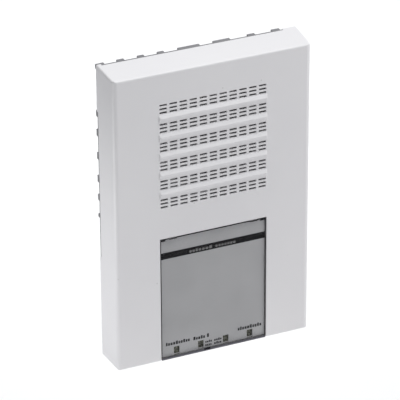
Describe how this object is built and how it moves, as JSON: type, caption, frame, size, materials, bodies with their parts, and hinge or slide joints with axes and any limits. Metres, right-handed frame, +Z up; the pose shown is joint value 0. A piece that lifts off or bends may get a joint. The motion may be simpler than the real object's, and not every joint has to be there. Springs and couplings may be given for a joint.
{
  "type": "alarm siren",
  "caption": "Wall alarm siren: white cover with a barred sound grille over a smoked top-hinged label flap with indicator windows, on a grey stand-off base.",
  "frame": {"origin": "centre of the wall pad on the back of the base, in the wall plane", "axes": "+Y into the wall, front faces -Y, +Z up, +X to the right seen from the front"},
  "size_m": [0.13, 0.0276, 0.2],
  "materials": {
    "white_plastic": "fine satin mould texture",
    "grey_plastic": "matt",
    "smoked_window": "gloss, smoked and see-through",
    "label_card": "printed card",
    "pale_plastic": "satin",
    "steel": "zinc plated",
    "circuit_board": "solder mask",
    "blue_plastic": "satin",
    "red_plastic": "satin",
    "black_plastic": "matt",
    "coil_tape": "satin tape",
    "green_plastic": "satin",
    "fuse_glass": "clear",
    "brass": "tinned spring brass",
    "ivory_plastic": "satin",
    "foam": "open-cell foam",
    "cone": "pressed film",
    "battery_wrap": "shrink wrap",
    "rubber": "matt",
    "red_wire": "PVC insulation",
    "black_wire": "PVC insulation",
    "light_pipe": "clear acrylic, unlit",
    "lamp": "tinted epoxy"
  },
  "bodies": {
    "housing": {"battery_block": "battery_wrap", "battery_clip": "black_plastic", "battery_lead": "black_wire", "battery_pad": "foam", "battery_plug": "ivory_plastic", "board_screw_1": "steel", "board_screw_2": "steel", "board_screw_3": "steel", "board_screw_4": "steel", "cable_grommet": "rubber", "capacitor_1": "black_plastic", "capacitor_2": "black_plastic", "controller_chip": "black_plastic", "cover_screw_left": "steel", "cover_screw_right": "steel", "front_cover": "white_plastic", "fuse": "fuse_glass", "fuse_clip_left": "brass", "fuse_clip_right": "brass", "lamp_1": "lamp", "lamp_2": "lamp", "lamp_3": "lamp", "lamp_4": "lamp", "light_pipe_1": "light_pipe", "light_pipe_2": "light_pipe", "light_pipe_3": "light_pipe", "light_pipe_4": "light_pipe", "loop_terminals": "green_plastic", "main_board": "circuit_board", "mains_terminals": "green_plastic", "rear_base": "grey_plastic", "relay": "blue_plastic", "silence_switch": "black_plastic", "siren_cone": "cone", "siren_dust_cap": "cone", "siren_frame": "pale_plastic", "siren_gasket": "foam", "siren_lead": "red_wire", "siren_magnet": "steel", "siren_plug": "ivory_plastic", "siren_screw_1": "steel", "siren_screw_2": "steel", "siren_screw_3": "steel", "siren_screw_4": "steel", "test_switch": "black_plastic", "transformer_coil": "coil_tape", "transformer_core": "steel"},
    "flap": {"flap_window": "smoked_window", "label_card": "label_card", "flap_back": "pale_plastic", "hinge_pin_left": "steel", "hinge_pin_right": "steel"},
    "test_key": {"test_button": "blue_plastic"},
    "silence_key": {"silence_button": "red_plastic"}
  },
  "joints": [
    {"name": "flap_hinge", "type": "hinge", "parent": "housing", "child": "flap", "pos_m": [0, -0.0251, -0.01465], "axis": [-1, 0, 0], "range_deg": [0, 110]},
    {"name": "test_press", "type": "slide", "parent": "housing", "child": "test_key", "axis": [0, 1, 0], "range_m": [0, 0.0008], "stiffness_N_per_m": 1500},
    {"name": "silence_press", "type": "slide", "parent": "housing", "child": "silence_key", "axis": [0, 1, 0], "range_m": [0, 0.0008], "stiffness_N_per_m": 1500}
  ]
}
